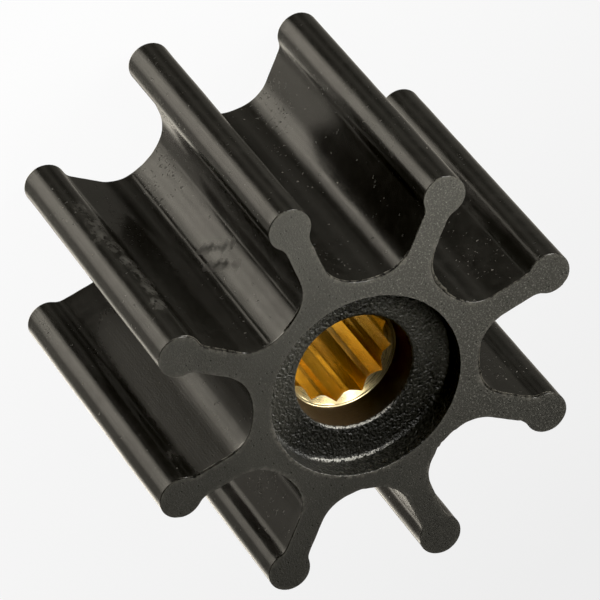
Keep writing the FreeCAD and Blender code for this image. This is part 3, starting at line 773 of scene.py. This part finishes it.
# ---------------------------------------------------------------- the splined bush
def bush():
    m = Mesh()
    per = []  # angle in degrees from a groove's middle, inner radius there, whether a crease
    half = 15.0 - CREST_HALF
    rx, ry = CREST_R * math.cos(math.radians(half)), CREST_R * math.sin(math.radians(half))
    for t in np.linspace(0, 1, 10):
        px, py = ROOT_R + (rx - ROOT_R) * t, ry * t
        per.append((math.degrees(math.atan2(py, px)), math.hypot(px, py)))
    crest = [(half + CREST_HALF * 2 * t, CREST_R) for t in (0.2, 0.4, 0.6, 0.8)]
    side = per + crest
    one = [(a, r) for a, r in side] + [(30 - a, r) for a, r in per[::-1][:-1]]
    # the angle and radius of each column, and whether it sits on a crest's edge
    ang, rad, crease = [], [], []
    for g in range(12):
        for a, r in one:
            ang.append(PHASE + 30 * g + a)
            rad.append(r)
            crease.append(1.0 if abs(r - CREST_R) < 1e-6 and min(abs(a - half), abs(30 - a - half)) < 0.01 else 0.0)
    ang, rad, crease = np.radians(np.array(ang)), np.array(rad), np.array(crease)
    turn = np.degrees(ang) % 360
    across = (turn - PHASE) % 30
    crest = (np.abs(rad - CREST_R) < 1e-6).astype(float)
    # painted shade: the lead-in cone is painted darker on one side
    cone = np.interp(turn, [0, 230, 250, 264, 282, 302, 360], [0.0, 0.0, 0.55, 0.68, 0.55, 0.0, 0.0])
    # painted shade: one flank of each groove and the crests are painted darker, most of all to one side, standing in
    # for dark reflections
    dark = np.interp(turn, [0, 100, 165, 178, 192, 222, 252, 270, 290, 360], [0.05, 0.0, 0.0, 0.20, 0.58, 0.78, 0.98, 0.60, 0.10, 0.05])
    painted_crest_shade = np.interp(turn, [0, 130, 150, 165, 180, 200, 230, 260, 300, 360], [0.0, 0.0, 0.2, 0.5, 0.6, 0.8, 0.86, 0.9, 0.2, 0.0])
    shade = np.maximum(dark * ((across > 0.5) & (across < 17.0)), painted_crest_shade * crest)
    n = len(ang)
    ca, sa = np.cos(ang), np.sin(ang)
    z_lo, z_hi = SETBACK, WIDTH - SETBACK
    last = {}
    for top in (True, False):
        zed = lambda d: (z_hi - d) if top else (z_lo + d)

        def circle(r, depth, **tags):
            r = np.broadcast_to(r, n)
            depth = np.broadcast_to(depth, n)
            return m.add(np.c_[r * ca, r * sa, zed(depth)], **tags)

        outer = circle(BUSH_R - 0.005, 0.0, edge=0.0)
        prev = outer
        for r, d, e in ((9.6, 0.0, 0.0), (8.6, 0.0, 0.0), (8.27, 0.0, 0.3), (8.24, 0.006, 0.8), (8.15, 0.085, 1.0), (8.12, 0.10, 0.2), (8.06, 0.10, 0.0), (7.97, 0.09, 0.6)):
            cur = circle(r, d, edge=e)
            m.quads(prev, cur, 1, flip=not top)
            prev = cur
        # the lead-in cone runs down to the teeth, so each column has its own depth
        depth = np.maximum(LEAD_R - rad, 0.16)
        for t, e in ((0.12, 0.5), (0.4, 0.2), (0.8, 0.2), (1.0, 0.8)):
            d = 0.08 + (depth - 0.08) * t
            cur = circle(np.maximum(LEAD_R - d, rad), d, edge=e * (1 - cone), shade=cone)
            m.quads(prev, cur, 1, flip=not top)
            prev = cur
        z_rows = [depth + 0.08, np.full(n, 2.0), np.full(n, 4.0), np.full(n, 7.0), np.full(n, 11.0)]
        for j, d in enumerate(z_rows):
            p = np.c_[rad * ca, rad * sa, zed(d)]
            cur = circle(rad + 0.006 * noise(p, 0.5, 40.0), d, edge=np.full(n, 0.3 if j == 0 else 0.0), shade=shade, crest=crest)
            m.quads(prev, cur, 0, flip=not top)
            prev = cur
        last[top] = (outer, prev)
    m.quads(last[True][1], last[False][1], 0)
    m.quads(last[False][0], last[True][0], 1)
    return m.build("impeller_bush", [M_BORE, M_TURNED], sharp=8.0)


rubber = rubber_body()
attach(rubber, "root")
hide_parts("rubber_body")
brass_bush = bush()
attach(brass_bush, "root")
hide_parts("splined_bush")

# ---------------------------------------------------------------- camera, floor and light
RIGHT = Vector((-0.35240, -0.84866, 0.39445))
DOWN = Vector((-0.71067, 0.51691, 0.47724))
AHEAD = Vector((-0.60891, -0.11215, -0.78527))
TX, TY, TZ = -10.72, -12.161, 818.664
EYE = -(RIGHT * TX + DOWN * TY + AHEAD * TZ) * MM
cam_data = bpy.data.cameras.new("camera")
cam = bpy.data.objects.new("camera", cam_data)
bpy.context.scene.collection.objects.link(cam)
rot = Matrix((RIGHT, -DOWN, -AHEAD)).transposed()
cam.matrix_world = Matrix.Translation(EYE) @ rot.to_4x4()
cam_data.sensor_fit = "HORIZONTAL"
cam_data.angle = 2 * math.atan(300.0 / 5750.7)
cam_data.clip_start = 0.01
cam_data.clip_end = 50.0
bpy.context.scene.camera = cam


def emission(name, build):
    mat = bpy.data.materials.new(name)
    mat.use_nodes = True
    t = mat.node_tree
    t.nodes.clear()
    out = t.nodes.new("ShaderNodeOutputMaterial")
    t.links.new(build(t), out.inputs["Surface"])
    return mat


def floor_shader(t):
    """Pale paper, bright of itself and a little darker to one side, so the shadow on it stays faint."""
    tc = t.nodes.new("ShaderNodeTexCoord")
    sep = t.nodes.new("ShaderNodeSeparateXYZ")
    t.links.new(tc.outputs["Object"], sep.inputs[0])
    across = t.nodes.new("ShaderNodeMath")
    across.operation = "MULTIPLY_ADD"
    across.inputs[1].default_value = 0.3137
    t.links.new(sep.outputs[1], across.inputs[0])
    t.links.new(sep.outputs[0], across.inputs[2])
    ramp = t.nodes.new("ShaderNodeMapRange")
    ramp.inputs["From Min"].default_value = -0.096
    ramp.inputs["From Max"].default_value = 0.046
    ramp.inputs["To Min"].default_value = 0.835
    ramp.inputs["To Max"].default_value = 0.965
    t.links.new(across.outputs[0], ramp.inputs["Value"])
    em = t.nodes.new("ShaderNodeEmission")
    em.inputs["Color"].default_value = (1.0, 1.0, 1.0, 1.0)
    t.links.new(ramp.outputs["Result"], em.inputs["Strength"])
    df = t.nodes.new("ShaderNodeBsdfDiffuse")
    df.inputs["Color"].default_value = (0.03, 0.03, 0.03, 1.0)
    add = t.nodes.new("ShaderNodeAddShader")
    t.links.new(em.outputs[0], add.inputs[0])
    t.links.new(df.outputs[0], add.inputs[1])
    return add.outputs[0]


fl = bpy.data.meshes.new("floor")
fl.from_pydata([(-6, -6, 0), (6, -6, 0), (6, 6, 0), (-6, 6, 0)], [], [(0, 1, 2, 3)])
floor = bpy.data.objects.new("floor", fl)
fl.materials.append(emission("floor_paper", floor_shader))
bpy.context.scene.collection.objects.link(floor)
floor.visible_glossy = False
floor.visible_diffuse = False
floor.visible_shadow = False

world = bpy.data.worlds.new("studio")
bpy.context.scene.world = world
world.use_nodes = True
bg = world.node_tree.nodes["Background"]
bg.inputs["Color"].default_value = (1.0, 0.97, 0.90, 1.0)
bg.inputs["Strength"].default_value = 0.010


CENTRE = Vector((0, 0, 0.025))


def soft_light(name, az, el, width, radiance, colour=(1.0, 1.0, 1.0), height=None, distance=1.0):
    """A soft box seen from the part in the direction az, el, as wide and high as these angles, of even brightness."""
    a, e = math.radians(az), math.radians(el)
    direction = Vector((math.cos(e) * math.cos(a), math.cos(e) * math.sin(a), math.sin(e)))
    w = 2 * distance * math.tan(math.radians(width) / 2)
    h = 2 * distance * math.tan(math.radians(height or width) / 2)
    data = bpy.data.lights.new(name, "AREA")
    data.shape = "RECTANGLE" if height else "DISK"
    data.size = w
    if height:
        data.size_y = h
    area = w * h if height else math.pi * w * w / 4
    data.energy = radiance * math.pi * area
    data.color = colour
    ob = bpy.data.objects.new(name, data)
    ob.location = CENTRE + direction * distance
    ob.rotation_euler = direction.to_track_quat("Z", "Y").to_euler()
    ob.visible_camera = False
    bpy.context.scene.collection.objects.link(ob)
    return ob


WARM, PLAIN = (1.0, 0.935, 0.80), (1.0, 0.985, 0.945)
RING = [
    (0, 0.06), (15, 1.66), (30, 1.62), (45, 1.10), (60, 1.36), (75, 0.34), (90, 0.28), (105, 0.24), (120, 0.08), (135, 0.70), (150, 1.25),
    (180, 0.18), (210, 0.34), (225, 0.26), (240, 0.12), (255, 0.08), (270, 0.13), (285, 0.075), (315, 0.14), (330, 0.20),
]
for az, amount in RING:
    soft_light("ring_%03d" % az, az, -52, 16, amount, WARM)
soft_light("under_front", 0, -72, 24, 0.8, WARM)
soft_light("under_key", 45, -72, 24, 5.0, WARM)
soft_light("under_edge", 135, -72, 24, 4.5, WARM)
soft_light("edge_thin", 161, -50, 9, 3.0, WARM)
soft_light("top_near", -24, 58, 26, 4.6, PLAIN, distance=0.080)
soft_light("top_side", -52, 60, 26, 1.4, PLAIN, distance=0.15)
soft_light("face_b", -65, 26, 24, 3.2, PLAIN)
soft_light("face_c", -95, 24, 24, 8.6, PLAIN)
soft_light("face_d", -125, 24, 24, 0.8, PLAIN)
soft_light("face_high", -76, 50, 12, 16.0, PLAIN)
soft_light("side_low", -50, -12, 34, 5.4, PLAIN)
for i in range(12):
    amount = 0.62 + 0.55 * math.cos(math.radians(3 * 30 * i * 0.667 + 40))
    soft_light("side_%03d" % (30 * i), 30 * i, -20, 28.3, amount, WARM, height=26)

scene = bpy.context.scene
scene.view_settings.view_transform = "Standard"
scene.view_settings.look = "None"
scene.view_settings.exposure = 0.0
scene.view_settings.gamma = 1.0
scene.view_settings.use_curve_mapping = True
scene.view_settings.curve_mapping.black_level = (0.0030, 0.0030, 0.0030)
